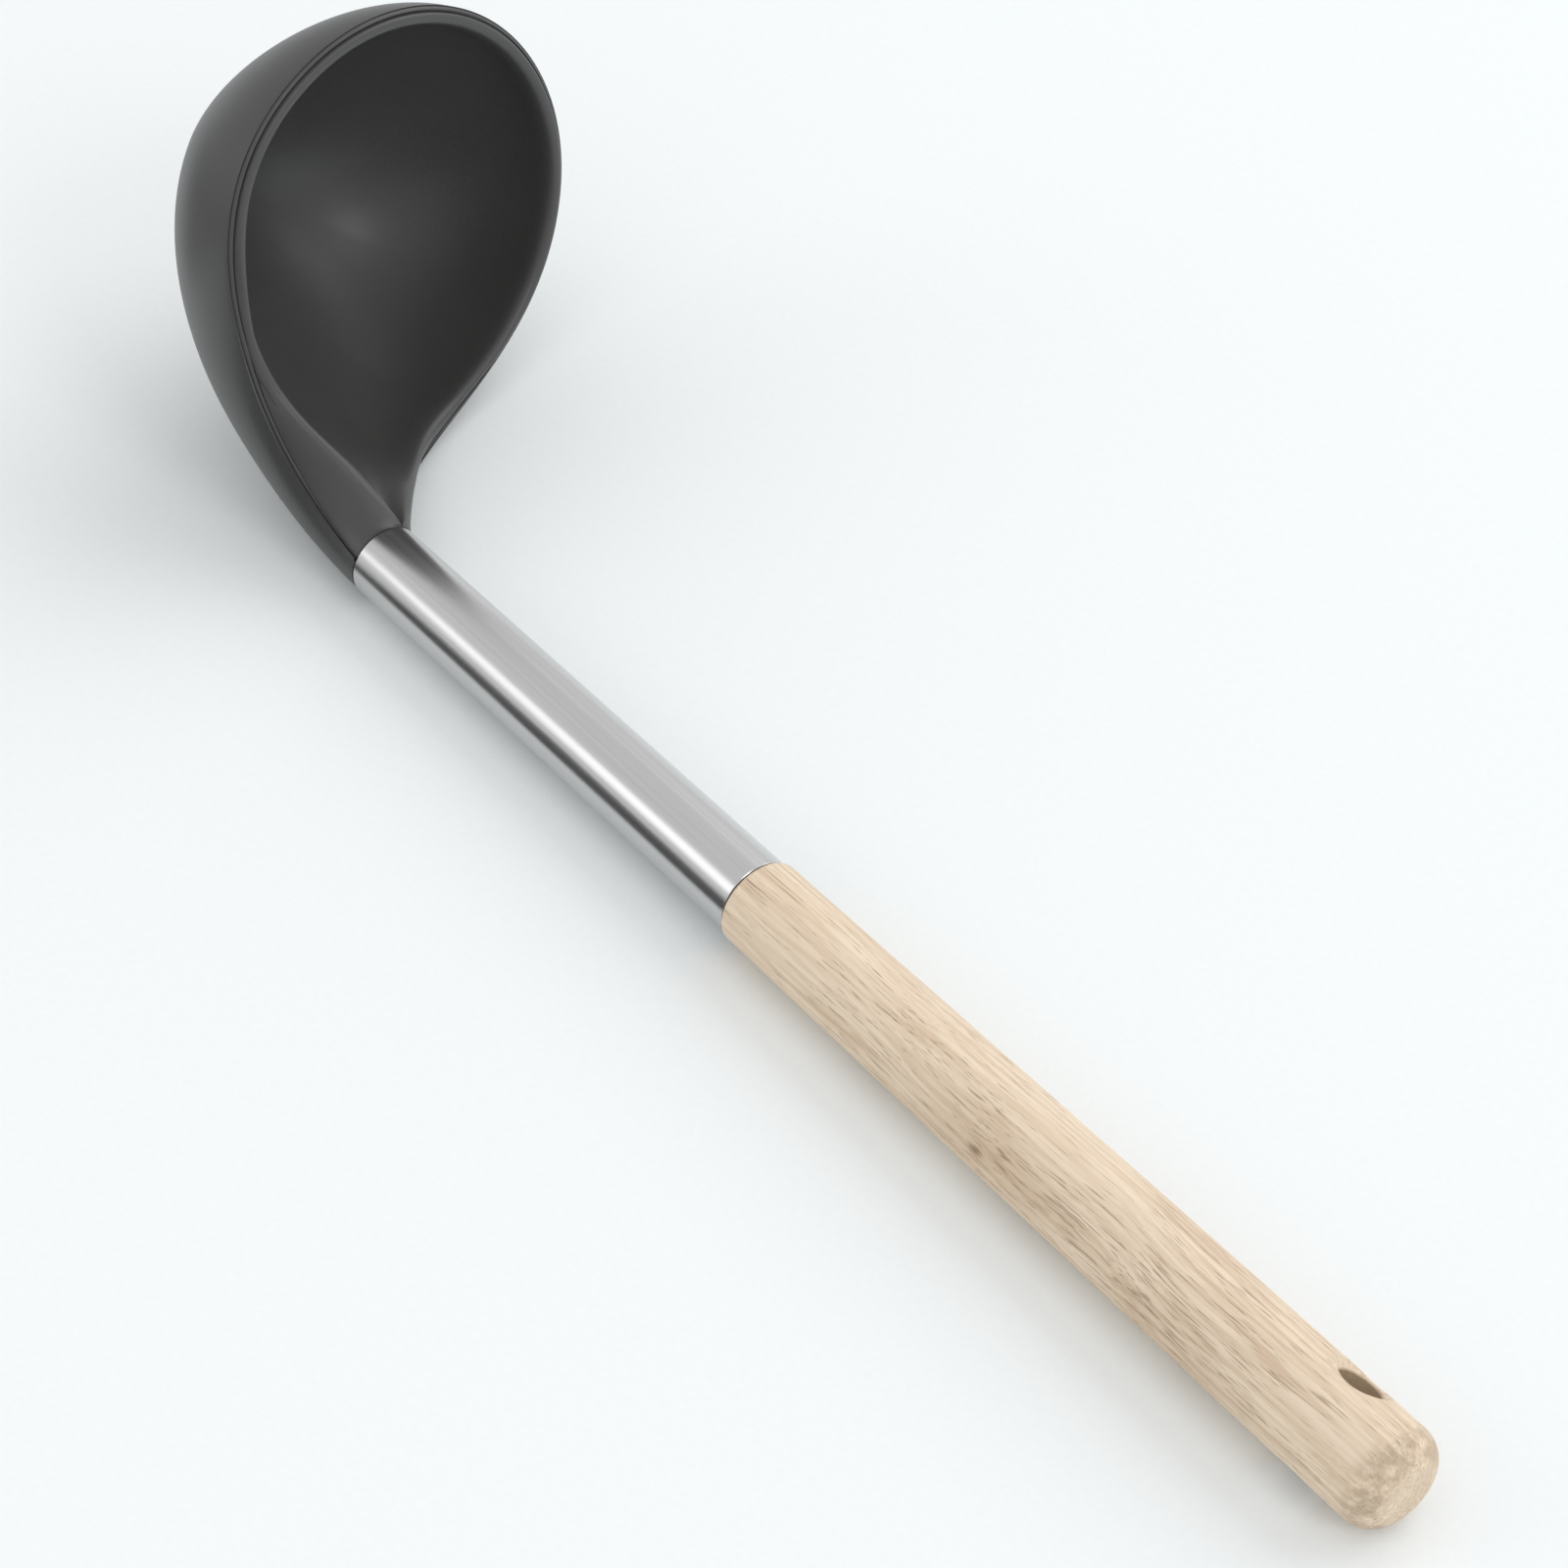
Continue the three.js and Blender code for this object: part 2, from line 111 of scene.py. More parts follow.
# Tube and handle
TUBE_LENGTH = 114 * MM
TUBE_FRONT_RADIUS = 7.45 * MM
TUBE_REAR_RADIUS = 7.85 * MM
TUBE_WALL = 0.7 * MM
TUBE_CHAMFER = TUBE_WALL / 6
HANDLE_LENGTH = 161 * MM
HANDLE_FRONT_RADIUS = 8.4 * MM
HANDLE_END_RADIUS = 9.4 * MM
SLENDER_SHARE = 0.3
FULL_SHARE = 0.4
SHOULDER_ROUNDING = 0.9 * MM
END_ROUNDING = 5.6 * MM
TENON_LENGTH = 30 * MM
TENON_CHAMFER = 1.2 * MM
HOLE_RADIUS = 4 * MM
HOLE_FROM_END = 17 * MM
HOLE_ROUNDING = 0.7 * MM
DRILL_REACH = 2 * MM                # how far the drill starts and ends outside the handle
CLEARANCE = 0.3 * MM
SHOULDER = TUBE_LENGTH + CLEARANCE
END = SHOULDER + HANDLE_LENGTH

# Fineness of the meshes
SIDE_STEPS = 110                    # stations on one side of the head
ARC_SHARE = 0.36                    # share of the stations on the mouth's true arc
OUTER_ROWS = 44
LIP_ROWS = 14
INNER_ROWS = 44
SKIN = 1 * MM                       # thickness of the head's mesh
HALVINGS = 30                       # tries in which a place on the keel is found
LAST_OF_LIP = 0.99                  # the lip's last direction is taken from this share on
TURNED_SIDES = 128
HANDLE_STEPS = 24
TIP = 0.01 * MM                     # radius of a ring that closes to a point
TOUCHING = 0.001 * MM
SMOOTH_ANGLE = math.radians(35)

ALONG = Vector((1, 0, 0))
ACROSS = Vector((0, 1, 0))


def smoothstep(value, low, high):
    """0 below low, 1 above high, and a soft step between them."""
    share = min(1, max(0, (value - low) / (high - low)))
    return share * share * (3 - 2 * share)


class Bezier:
    """A cubic curve through space, by its two ends and its two handles."""

    def __init__(self, start, start_handle, end_handle, end):
        self.start = start
        self.start_handle = start_handle
        self.end_handle = end_handle
        self.end = end

    def point(self, t):
        u = 1 - t
        return (self.start * u ** 3 + self.start_handle * 3 * u * u * t
                + self.end_handle * 3 * u * t * t + self.end * t ** 3)

    def tangent(self, t):
        u = 1 - t
        slope = ((self.start_handle - self.start) * u * u
                 + (self.end_handle - self.start_handle) * 2 * u * t
                 + (self.end - self.end_handle) * t * t)
        return slope.normalized()


# The bowl's own directions

FORWARD = Vector((-math.sin(BOWL_TILT), 0, math.cos(BOWL_TILT)))
OPENING = Vector((math.cos(BOWL_TILT), 0, math.sin(BOWL_TILT)))
MOUTH_CENTRE = Vector((-BOWL_REACH, 0, BOWL_OFFSET))


def bowl_point(forward, across, out):
    return MOUTH_CENTRE + FORWARD * forward + ACROSS * across + OPENING * out


def neck_point(angle, radius):
    """A point on the neck's end, by its angle from the top."""
    return Vector((-NECK_STRAIGHT, radius * math.sin(angle), radius * math.cos(angle)))


# Parting line, from the front of the mouth to the neck, on the +Y side

ARC_END = bowl_point(BOWL_RADIUS * math.cos(FRONT_ARC), BOWL_RADIUS * math.sin(FRONT_ARC), 0)
ARC_TANGENT = ACROSS * math.cos(FRONT_ARC) - FORWARD * math.sin(FRONT_ARC)
PARTING_END = neck_point(PARTING_AT_NECK, NECK_RADIUS)
ROUND_NECK = Vector((0, -math.cos(PARTING_AT_NECK), math.sin(PARTING_AT_NECK)))
MOUTH_SIDE = Bezier(
    ARC_END,
    ARC_END + ARC_TANGENT * FRONT_PULL,
    PARTING_END - ALONG * NECK_PULL + ROUND_NECK * NECK_TURN,
    PARTING_END,
)


def parting_point(station):
    if station > ARC_SHARE:
        return MOUTH_SIDE.point((station - ARC_SHARE) / (1 - ARC_SHARE))
    angle = FRONT_ARC * station / ARC_SHARE
    return bowl_point(BOWL_RADIUS * math.cos(angle), BOWL_RADIUS * math.sin(angle), 0)


def parting_tangent(station):
    if station > ARC_SHARE:
        return MOUTH_SIDE.tangent((station - ARC_SHARE) / (1 - ARC_SHARE))
    angle = FRONT_ARC * station / ARC_SHARE
    return ACROSS * math.cos(angle) - FORWARD * math.sin(angle)


def station_frame(station):
    """Directions at a station: up the lip, and outwards."""
    tangent = parting_tangent(station)
    up = OPENING.lerp(ROUND_NECK, smoothstep(station, TURNING_FROM, 1))
    up = (up - tangent * up.dot(tangent)).normalized()
    return up, up.cross(tangent).normalized()


def run_out(station):
    """How far the lip has run out into the neck: 0 round the bowl, 1 at the tube."""
    return smoothstep(station, SPREAD_FROM, 1) ** SPREAD_POWER


def lip_point(station, share):
    """From the parting line (share 0) over the crown to where the inner wall starts (share 1)."""
    up, outward = station_frame(station)
    sweep = LIP_SWEEP * share
    inside = sweep > math.pi / 2
    aside = abs(math.cos(sweep)) ** CROWN_SQUARENESS
    below = 1 - math.sin(sweep) ** CROWN_SQUARENESS
    inwards = CROWN_SETBACK + (aside * CROWN_INSIDE if inside else -aside * CROWN_OUTSIDE)
    upwards = CROWN_RISE - below * (INSIDE_DROP if inside else OUTSIDE_DROP)
    crown = up * upwards - outward * inwards
    neck = neck_point(PARTING_AT_NECK * (1 - share), NECK_RADIUS) - PARTING_END
    spread = min(1, max(0, (station - SPREAD_FROM) / (1 - SPREAD_FROM)))
    ridge = RIDGE_PULL * 3 * spread ** 2 * (1 - spread) * share
    return parting_point(station) + crown.lerp(neck, run_out(station)) + ALONG * ridge


def seam_point(station, out, rise):
    """A point of the seam's section at a station. The seam fades out along the neck."""
    up, outward = station_frame(station)
    out *= 1 - run_out(station) * (1 - SEAM_AT_NECK)
    rise -= run_out(station) * SEAM_DROP
    return parting_point(station) + (outward * out + up * rise) * MM


class Keel:
    """Middle line of a wall: from the front, under the bottom, and up the back to the neck."""

    def __init__(self, front, bottom, neck):
        radius = (front - bottom).dot(FORWARD)
        depth = (front - bottom).dot(OPENING)
        back = (bottom - neck).dot(FORWARD)
        self.bottom = bottom
        self.front_half = Bezier(
            front,
            front - OPENING * WALL_FULLNESS * depth,
            bottom + FORWARD * BOTTOM_FULLNESS * radius,
            bottom,
        )
        self.back_half = Bezier(
            bottom,
            bottom - FORWARD * BACK_FULLNESS * back,
            neck - ALONG * THROAT_PULL,
            neck,
        )

    def forward_of(self, point):
        return (point - self.bottom).dot(FORWARD)

    def point(self, forward):
        """The keel point that lies a given way forward of the bowl's bottom."""
        curve = self.front_half if forward > 0 else self.back_half
        low, high = 0, 1
        for _ in range(HALVINGS):
            share = (low + high) / 2
            if self.forward_of(curve.point(share)) > forward:
                low = share
            else:
                high = share
        place = curve.point(low)
        place.y = 0
        return place


def wall_ribs(edge, keel, downwards):
    """Ribs of a wall, one a station, from its keel up to its edge."""
    stretch = keel.forward_of(keel.back_half.end) / keel.forward_of(edge[-1])
    ribs = []
    for i, (point, down) in enumerate(zip(edge, downwards)):
        forward = keel.forward_of(point)
        foot = keel.point(forward if forward > 0 else forward * stretch)
        if i == 0:
            foot = keel.front_half.start
        if i == len(edge) - 1:
            foot = keel.back_half.end
        ribs.append(Bezier(
            foot,
            foot + ACROSS * RIB_FULLNESS * point.y,
            point + down * RIB_FULLNESS * (foot - point).dot(down),
            point,
        ))
    return ribs


def evened(line, share):
    """A line of points with its bends evened out, and how far along it each new point lies.

    To keep its ends in place, the line is first carried on past them: turned about its first
    point, and mirrored in the ladle's middle plane at its last.
    """
    whole = numpy.vstack([2 * line[0] - line[:0:-1], line, line[-2::-1] * (1, -1, 1)])
    steps = numpy.linalg.norm(numpy.diff(whole, axis=0), axis=1)
    lengths = numpy.append(0, steps.cumsum())
    here = lengths[len(line) - 1:2 * len(line) - 1]
    here = here + (numpy.linspace(here[0], here[-1], len(line)) - here) * share
    dense = numpy.arange(0, lengths[-1], SOFTENING_STEP)
    points = numpy.stack([numpy.interp(dense, lengths, part) for part in whole.T], axis=1)
    reach = max(SOFTENING * share, SOFTENING_STEP)
    weights = numpy.exp(-((dense - here[:, None]) / reach) ** 2 / 2)
    return weights @ points / weights.sum(axis=1, keepdims=True), here - here[0]


def softened(rows, stations):
    """Rows of the inner side, evened out towards the neck, where the lip fades into a valley."""
    for i, station in enumerate(stations):
        share = smoothstep(station, *SOFTENING_STARTS) * (1 - smoothstep(station, *SOFTENING_ENDS))
        if not share:
            continue
        points, distances = evened(numpy.array([row[i] for row in rows]), share)
        filling = FILLING * smoothstep(station, *FILLING_STARTS)
        filling += NECK_FILLING * smoothstep(station, *NECK_FILLING_STARTS)
        filling *= 1 - smoothstep(station, *FILLING_ENDS)
        up = station_frame(station)[0]
        up.y = 0
        for row, point, distance in zip(rows[1:], points[1:], distances[1:]):
            row[i] = Vector(point) + up * filling * (1 - math.exp(-distance / FILLING_RAMP))
        rows[-1][i].y = 0
    return rows


def half_skin():
    """Rows of points of the half skin on the +Y side, each row running over the stations."""
    stations = [i / SIDE_STEPS for i in range(SIDE_STEPS + 1)]
    lip_shares = [j / LIP_ROWS for j in range(LIP_ROWS + 1)]
    lip = [[lip_point(station, share) for station in stations] for share in lip_shares]
    seam = [[seam_point(station, *place) for station in stations] for place in SEAM]

    outer_edge = [seam_point(station, *WALL_TOP) for station in stations]
    neck_bottom = neck_point(math.pi, NECK_RADIUS)
    neck_bottom.y = 0
    outer_keel = Keel(outer_edge[0], bowl_point(0, 0, -BOWL_DEPTH), neck_bottom)
    outer_downwards = [-station_frame(station)[0] for station in stations]
    outer_ribs = wall_ribs(outer_edge, outer_keel, outer_downwards)

    inner_edge = lip[-1]
    inner_bottom = bowl_point(0, 0, BOTTOM_WALL - BOWL_DEPTH)
    inner_keel = Keel(inner_edge[0], inner_bottom, inner_edge[-1])
    nearly_edge = [lip_point(station, LAST_OF_LIP) for station in stations]
    into_bowl = [(edge - before).normalized() for edge, before in zip(inner_edge, nearly_edge)]
    inner_ribs = wall_ribs(inner_edge, inner_keel, into_bowl)

    outer = [[rib.point(j / OUTER_ROWS) for rib in outer_ribs] for j in range(OUTER_ROWS + 1)]
    inner = [[rib.point(1 - j / INNER_ROWS) for rib in inner_ribs]
             for j in range(1, INNER_ROWS + 1)]
    rows = outer + seam + softened(lip + inner, stations)
    for row in rows:
        end = row[-1].copy()
        end.x = -CLEARANCE
        row.append(end)
    return rows


# Laying down: the handle's axis and end come from the record's mount. The roll about the axis
# is the one with which the CAD lies on the side of its bowl.

ROLL = math.radians(-41.42)
mount = frame["record"]["mounts"][0]
AXIS = Vector(mount["axis"]).normalized()
TUBE_MOUTH = Vector(mount["pos_m"]) - AXIS * END
PLACE = (Matrix.Translation(TUBE_MOUTH) @ Matrix.Rotation(-math.atan2(AXIS.z, AXIS.x), 4, "Y")
         @ Matrix.Rotation(ROLL, 4, "X"))


# Finishes

class Amount:
    """A number or colour that varies over a surface. Sums written with it add Math nodes."""

    def __init__(self, finish, socket):
        self.finish = finish
        self.socket = socket

    def math(self, operation, first, second):
        return self.finish.node("Math", {"operation": operation}, {0: first, 1: second})

    def __add__(self, other):
        return self.math("ADD", self, other)

    def __radd__(self, other):
        return self.math("ADD", other, self)

    def __sub__(self, other):
        return self.math("SUBTRACT", self, other)

    def __rsub__(self, other):
        return self.math("SUBTRACT", other, self)

    def __mul__(self, other):
        return self.math("MULTIPLY", self, other)

    def __rmul__(self, other):
        return self.math("MULTIPLY", other, self)


class Finish:
    """A material and its nodes."""

    def __init__(self, name):
        self.material = bpy.data.materials.new(name)
        self.material.use_nodes = True
        self.tree = self.material.node_tree
        self.shader = self.tree.nodes["Principled BSDF"]

    def set(self, socket, value):
        if isinstance(value, Amount):
            self.tree.links.new(value.socket, socket)
        else:
            socket.default_value = value

    def node(self, kind, settings, values, output=0):
        """Any node: its settings, the values or links of its sockets, and the output used."""
        made = self.tree.nodes.new("ShaderNode" + kind)
        for key, value in settings.items():
            setattr(made, key, value)
        for key, value in values.items():
            self.set(made.inputs[key], value)
        return Amount(self, made.outputs[output])

    def own_frame(self):
        """Coordinates in the upright ladle's own frame."""
        back = PLACE.inverted()
        return self.node("Mapping", {}, {
            "Vector": self.node("TexCoord", {}, {}, "Object"),
            "Location": back.translation,
            "Rotation": back.to_euler(),
        })

    def stretched(self, place, scale):
        return self.node("VectorMath", {"operation": "MULTIPLY"}, {0: place, 1: scale})

    def noise(self, place, scale, detail=2, roughness=0.5):
        return self.node("TexNoise", {}, {
            "Vector": place, "Scale": scale, "Detail": detail, "Roughness": roughness,
        })

    def between(self, value, low, high):
        """0 at low, 1 at high, and a soft step between them."""
        return self.node("MapRange", {"interpolation_type": "SMOOTHSTEP"}, {
            "Value": value, "From Min": low, "From Max": high,
        })

    def near(self, place, centre, reach, weights, core=0):
        """1 in a core round a centre, fading to 0 at its reach. Each axis has a weight."""
        distance = self.node("VectorMath", {"operation": "DISTANCE"}, {
            0: self.stretched(place, weights),
            1: [part * weight for part, weight in zip(centre, weights)],
        }, "Value")
        return self.between(distance, reach, core)

    def mixed(self, share, first, second):
        return self.node("Mix", {"data_type": "RGBA"}, {0: share, 6: first, 7: second}, 2)

    def bump(self, height, strength, distance):
        return self.node("Bump", {}, {
            "Height": height, "Strength": strength, "Distance": distance,
        })

    def shaded(self, **values):
        """Sets the shader's sockets, whose names are given with underscores."""
        for key, value in values.items():
            self.set(self.shader.inputs[key.replace("_", " ")], value)
        return self.material


def rgb(red, green, blue):
    """A colour as it looks on screen, from 0 to 255, in the shader's own linear numbers."""
    def linear(part):
        part /= 255
        return part / 12.92 if part <= 0.04045 else ((part + 0.055) / 1.055) ** 2.4
    return (linear(red), linear(green), linear(blue), 1)


def matt_silicone():
    finish = Finish("charcoal silicone")
    place = finish.own_frame()
    cloud = finish.noise(place, scale=45, detail=3, roughness=0.6)
    grain = finish.noise(place, scale=1400, detail=2, roughness=0.7)
    return finish.shaded(
        Base_Color=finish.mixed(cloud, rgb(58, 58, 58), rgb(66, 66, 65)),
        Roughness=0.36 + cloud * 0.08,
        Specular_IOR_Level=0.6,
        Normal=finish.bump(grain, strength=0.15, distance=0.2 * MM),
    )


def satin_steel():
    """Steel brushed along the tube."""
    finish = Finish("satin steel")
    place = finish.own_frame()
    brushed = finish.stretched(place, (14, 1700, 1700))
    streak = finish.noise(brushed, scale=1, detail=3, roughness=0.6)
    speckle = finish.noise(place, scale=900, detail=2, roughness=0.6)
    smear = finish.noise(finish.stretched(place, (25, 120, 120)), scale=1)
    return finish.shaded(
        Base_Color=finish.mixed(streak, rgb(196, 195, 196), rgb(214, 214, 213)),
        Metallic=1,
        Roughness=0.17 + streak * 0.08 + smear * 0.05,
        Normal=finish.bump(streak * 0.7 + speckle * 0.3, strength=0.1, distance=0.1 * MM),
    )


# Marks on the wood, as places in the ladle's own frame

DASH_CLUSTER = (0.214, -0.0092, 0)
BROWNED_PATCH = (0.186, -0.0085, -0.003)
KNOT = (0.1828, -0.0081, -0.0038)
HOLE_CENTRE = (END - HOLE_FROM_END, 0, 0)
GRAIN_WANDER = 4 * MM


def oiled_wood():
    """Pale wood: fibre along the handle, veins, brown pore dashes, a knot, a darker mottled band
    at the end, and painted shade in the hole.
    """
    finish = Finish("oiled wood")
    place = finish.own_frame()
    along = finish.node("SeparateXYZ", {}, {0: place}, "X")

    wander = finish.node("VectorMath", {"operation": "MULTIPLY_ADD"}, {
        0: finish.node("TexNoise", {}, {"Vector": place, "Scale": 22, "Detail": 1}, "Color"),
        1: (0, GRAIN_WANDER, GRAIN_WANDER),
        2: place,
    })
    fibre_place = finish.stretched(wander, (40, 1300, 1300))
    fibre = finish.noise(fibre_place, scale=1, detail=3, roughness=0.6)
    pore_place = finish.stretched(wander, (110, 3200, 3200))
    pores = finish.noise(pore_place, scale=1, detail=2, roughness=0.6)
    patches = finish.noise(finish.stretched(place, (28, 110, 110)), scale=1)
    rings = finish.node("TexWave", {"bands_direction": "Y"}, {
        "Vector": finish.stretched(wander, (5, 60, 60)), "Scale": 3.5, "Distortion": 7,
        "Detail": 3, "Detail Scale": 1.3, "Detail Roughness": 0.6,
    }, "Fac")

    cluster = finish.near(place, DASH_CLUSTER, reach=12 * MM, weights=(0.3, 1, 1))
    browned = finish.near(place, BROWNED_PATCH, reach=9 * MM, weights=(0.35, 1, 1))
    knot = finish.near(place, KNOT, reach=1.3 * MM, weights=(0.45, 1, 1))
    crowded = finish.between(patches, 0.3, 0.65) + cluster
    dashes = finish.between(pores + crowded * 0.06, 0.62, 0.72)
    veins = finish.between(rings, 0.6, 1) * finish.between(patches, 0.3, 0.6)
    stain = finish.between(patches, 0.5, 0.75)

    # Painted shade inside the hole: the bore's wall and its rounded edge are darkened towards a
    # grey brown.
    hole_painted_shade = finish.near(
        place, HOLE_CENTRE, reach=HOLE_RADIUS + 0.4 * MM, weights=(1, 1, 0),
        core=HOLE_RADIUS + 0.05 * MM,
    )
    # A darker, mottled band over the end's rounding, lighter again on the end face.
    rounding = finish.between(along, END - 7.5 * MM, END - 3.5 * MM)
    face = finish.between(along, END - 0.9 * MM, END - 0.3 * MM)
    end_mottle = finish.noise(place, scale=260, detail=3, roughness=0.7)
    end_darkening = (rounding - face * 0.7) * finish.between(end_mottle, 0.3, 0.6)

    pale = finish.mixed(finish.between(fibre, 0.3, 0.7), rgb(220, 198, 171), rgb(239, 220, 196))
    brown = stain * 0.4 + veins * 0.4 + browned * 0.5
    stained = finish.mixed(brown, pale, rgb(200, 174, 145))
    marked = finish.mixed(dashes * 0.6 + knot * 0.8, stained, rgb(140, 110, 84))
    return finish.shaded(
        Base_Color=finish.mixed(end_darkening * 0.6 + hole_painted_shade * 0.8, marked, rgb(160, 138, 112)),
        Roughness=0.62 - fibre * 0.12,
        Normal=finish.bump(
            fibre * 0.4 - dashes * 0.7 - veins * 0.3, strength=0.25, distance=0.3 * MM,
        ),
    )


def moulded_nylon():
    finish = Finish("core nylon")
    grain = finish.noise(finish.own_frame(), scale=900)
    return finish.shaded(
        Base_Color=finish.mixed(grain, rgb(34, 34, 36), rgb(42, 42, 44)),
        Roughness=0.45 + grain * 0.1,
    )


def pale_table():
    finish = Finish("pale table")
    place = finish.node("TexCoord", {}, {}, "Object")
    grain = finish.noise(place, scale=700, detail=3, roughness=0.7)
    return finish.shaded(
        Base_Color=finish.mixed(grain, (0.875, 0.91, 0.92, 1), (0.925, 0.96, 0.97, 1)),
        Roughness=0.7,
        Specular_IOR_Level=0,
    )


def plain_card(name, shade):
    return Finish(name).shaded(Base_Color=(shade, shade, shade, 1), Roughness=0.9)


# Working by hand, in code

def deselect():
    for thing in bpy.context.selected_objects:
        thing.select_set(False)


def named(name):
    """The new primitive, with its name."""
    thing = bpy.context.active_object
    thing.name = name
    thing.data.name = name
    return thing


def apply(thing, kind, **settings):
    """Adds a modifier and applies it."""
    modifier = thing.modifiers.new(kind.title(), kind)
    for key, value in settings.items():
        setattr(modifier, key, value)
    bpy.context.view_layer.objects.active = thing
    bpy.ops.object.modifier_apply(modifier=modifier.name)


def merge_and_face_out(thing, distance=TOUCHING):
    bpy.context.view_layer.objects.active = thing
    bpy.ops.object.mode_set(mode="EDIT")
    bpy.ops.mesh.select_all(action="SELECT")
    bpy.ops.mesh.remove_doubles(threshold=distance)
    bpy.ops.mesh.normals_make_consistent(inside=False)
    bpy.ops.object.mode_set(mode="OBJECT")


def finish_piece(thing, node, material):
    """Lays a piece down, smooths it, and puts it in the place of its CAD node."""
    thing.data.transform(PLACE)
    deselect()
    thing.select_set(True)
    bpy.context.view_layer.objects.active = thing
    bpy.ops.object.shade_smooth_by_angle(angle=SMOOTH_ANGLE)
    thing.data.materials.clear()
    thing.data.materials.append(material)
    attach(thing, "root")
    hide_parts(node)


def make_head():
    """A grid, laid over the rows of the half skin, mirrored, and given its thickness."""
    rows = half_skin()
    columns = SIDE_STEPS + 1
    last_row = len(rows) - 1
    deselect()
    bpy.ops.mesh.primitive_grid_add(x_subdivisions=columns, y_subdivisions=last_row, size=1)
    head = named("head")
    for vertex in head.data.vertices:
        station = round((vertex.co.x + 0.5) * columns)
        row = round((vertex.co.y + 0.5) * last_row)
        vertex.co = rows[row][station]
    apply(head, "MIRROR", use_axis=(False, True, False), use_mirror_merge=True,
          merge_threshold=TOUCHING)
    merge_and_face_out(head)
    apply(head, "SOLIDIFY", thickness=SKIN, offset=-1)
    finish_piece(head, "silicone_head", matt_silicone())


def turned(name, profile):
    """A piece turned about the handle's axis: a ring, extruded and resized along a profile of
    (distance along the axis, radius)."""
    deselect()
    start, first_radius = profile[0]
    bpy.ops.mesh.primitive_circle_add(
        vertices=TURNED_SIDES, radius=first_radius, fill_type="NOTHING",
        location=(start, 0, 0), rotation=(0, math.pi / 2, 0),
    )
    thing = named(name)
    bpy.ops.object.transform_apply(location=True, rotation=True, scale=True)
    bpy.ops.object.mode_set(mode="EDIT")
    bpy.ops.mesh.select_all(action="SELECT")
    for (here, radius), (there, next_radius) in zip(profile, profile[1:]):
        bpy.ops.mesh.extrude_region_move(TRANSFORM_OT_translate={"value": (there - here, 0, 0)})
        ratio = next_radius / radius
        bpy.ops.transform.resize(value=(1, ratio, ratio), center_override=(there, 0, 0))
    bpy.ops.object.mode_set(mode="OBJECT")
    return thing


def rounded(centre_along, centre_radius, rounding, start, end, steps):
    """Profile points of a rounding, between two angles from straight outwards."""
    angles = [start + (end - start) * i / steps for i in range(steps + 1)]
    return [(centre_along + rounding * math.sin(angle), centre_radius + rounding * math.cos(angle))
            for angle in angles]


def make_tube():
    profile = [
        (0, TUBE_FRONT_RADIUS - TUBE_WALL),
        (0, TUBE_FRONT_RADIUS - TUBE_CHAMFER),
        (TUBE_CHAMFER, TUBE_FRONT_RADIUS),
        (TUBE_LENGTH - TUBE_CHAMFER, TUBE_REAR_RADIUS),
        (TUBE_LENGTH, TUBE_REAR_RADIUS - TUBE_CHAMFER),
        (TUBE_LENGTH, TUBE_REAR_RADIUS - TUBE_WALL),
        (0, TUBE_FRONT_RADIUS - TUBE_WALL),
    ]
    tube = turned("tube", profile)
    merge_and_face_out(tube)
    finish_piece(tube, "steel_tube", satin_steel())


def handle_profile():
    """The handle's outline: tenon, shoulder, swelling side and rounded end."""
    tenon_end = SHOULDER - TENON_LENGTH
    slope = (TUBE_REAR_RADIUS - TUBE_FRONT_RADIUS) / TUBE_LENGTH
    tenon_radius = TUBE_FRONT_RADIUS + slope * tenon_end - TUBE_WALL - CLEARANCE
    swell = HANDLE_END_RADIUS - HANDLE_FRONT_RADIUS
    slender_end = SHOULDER + HANDLE_LENGTH * SLENDER_SHARE
    side = Bezier(
        Vector((SHOULDER + SHOULDER_ROUNDING, HANDLE_FRONT_RADIUS)),
        Vector((slender_end, HANDLE_FRONT_RADIUS + swell * SLENDER_SHARE)),
        Vector((END - HANDLE_LENGTH * FULL_SHARE, HANDLE_END_RADIUS)),
        Vector((END - END_ROUNDING, HANDLE_END_RADIUS)),
    )
    tenon = [
        (tenon_end, TIP),
        (tenon_end, tenon_radius - TENON_CHAMFER),
        (tenon_end + TENON_CHAMFER, tenon_radius),
        (SHOULDER, tenon_radius),
    ]
    shoulder = rounded(SHOULDER + SHOULDER_ROUNDING, HANDLE_FRONT_RADIUS - SHOULDER_ROUNDING,
                       SHOULDER_ROUNDING, -math.pi / 2, 0, steps=8)
    middle = [tuple(side.point(i / HANDLE_STEPS)) for i in range(1, HANDLE_STEPS)]
    end = rounded(END - END_ROUNDING, HANDLE_END_RADIUS - END_ROUNDING,
                  END_ROUNDING, 0, math.pi / 2, steps=16)
    return tenon + shoulder + middle + end + [(END, TIP)]


def drill_profile():
    """The drill's path through the handle, opened out where it leaves the wood."""
    surface = math.sqrt(HANDLE_END_RADIUS ** 2 - HOLE_RADIUS ** 2)
    outside = HANDLE_END_RADIUS + DRILL_REACH
    flare = HOLE_RADIUS + HOLE_ROUNDING + outside - surface
    return [
        (-outside, TIP),
        (-outside, flare),
        (HOLE_ROUNDING - surface, HOLE_RADIUS),
        (surface - HOLE_ROUNDING, HOLE_RADIUS),
        (outside, flare),
        (outside, TIP),
    ]


def make_handle():
    handle = turned("handle", handle_profile())
    merge_and_face_out(handle, 2 * TIP)
    drill = turned("drill", drill_profile())
    merge_and_face_out(drill, 2 * TIP)
    upright = Matrix.Rotation(math.pi / 2, 4, "Y")
    drill.data.transform(Matrix.Translation(HOLE_CENTRE) @ upright)
    apply(handle, "BOOLEAN", object=drill, operation="DIFFERENCE", solver="EXACT")
    bpy.data.objects.remove(drill)
    finish_piece(handle, "wooden_handle", oiled_wood())


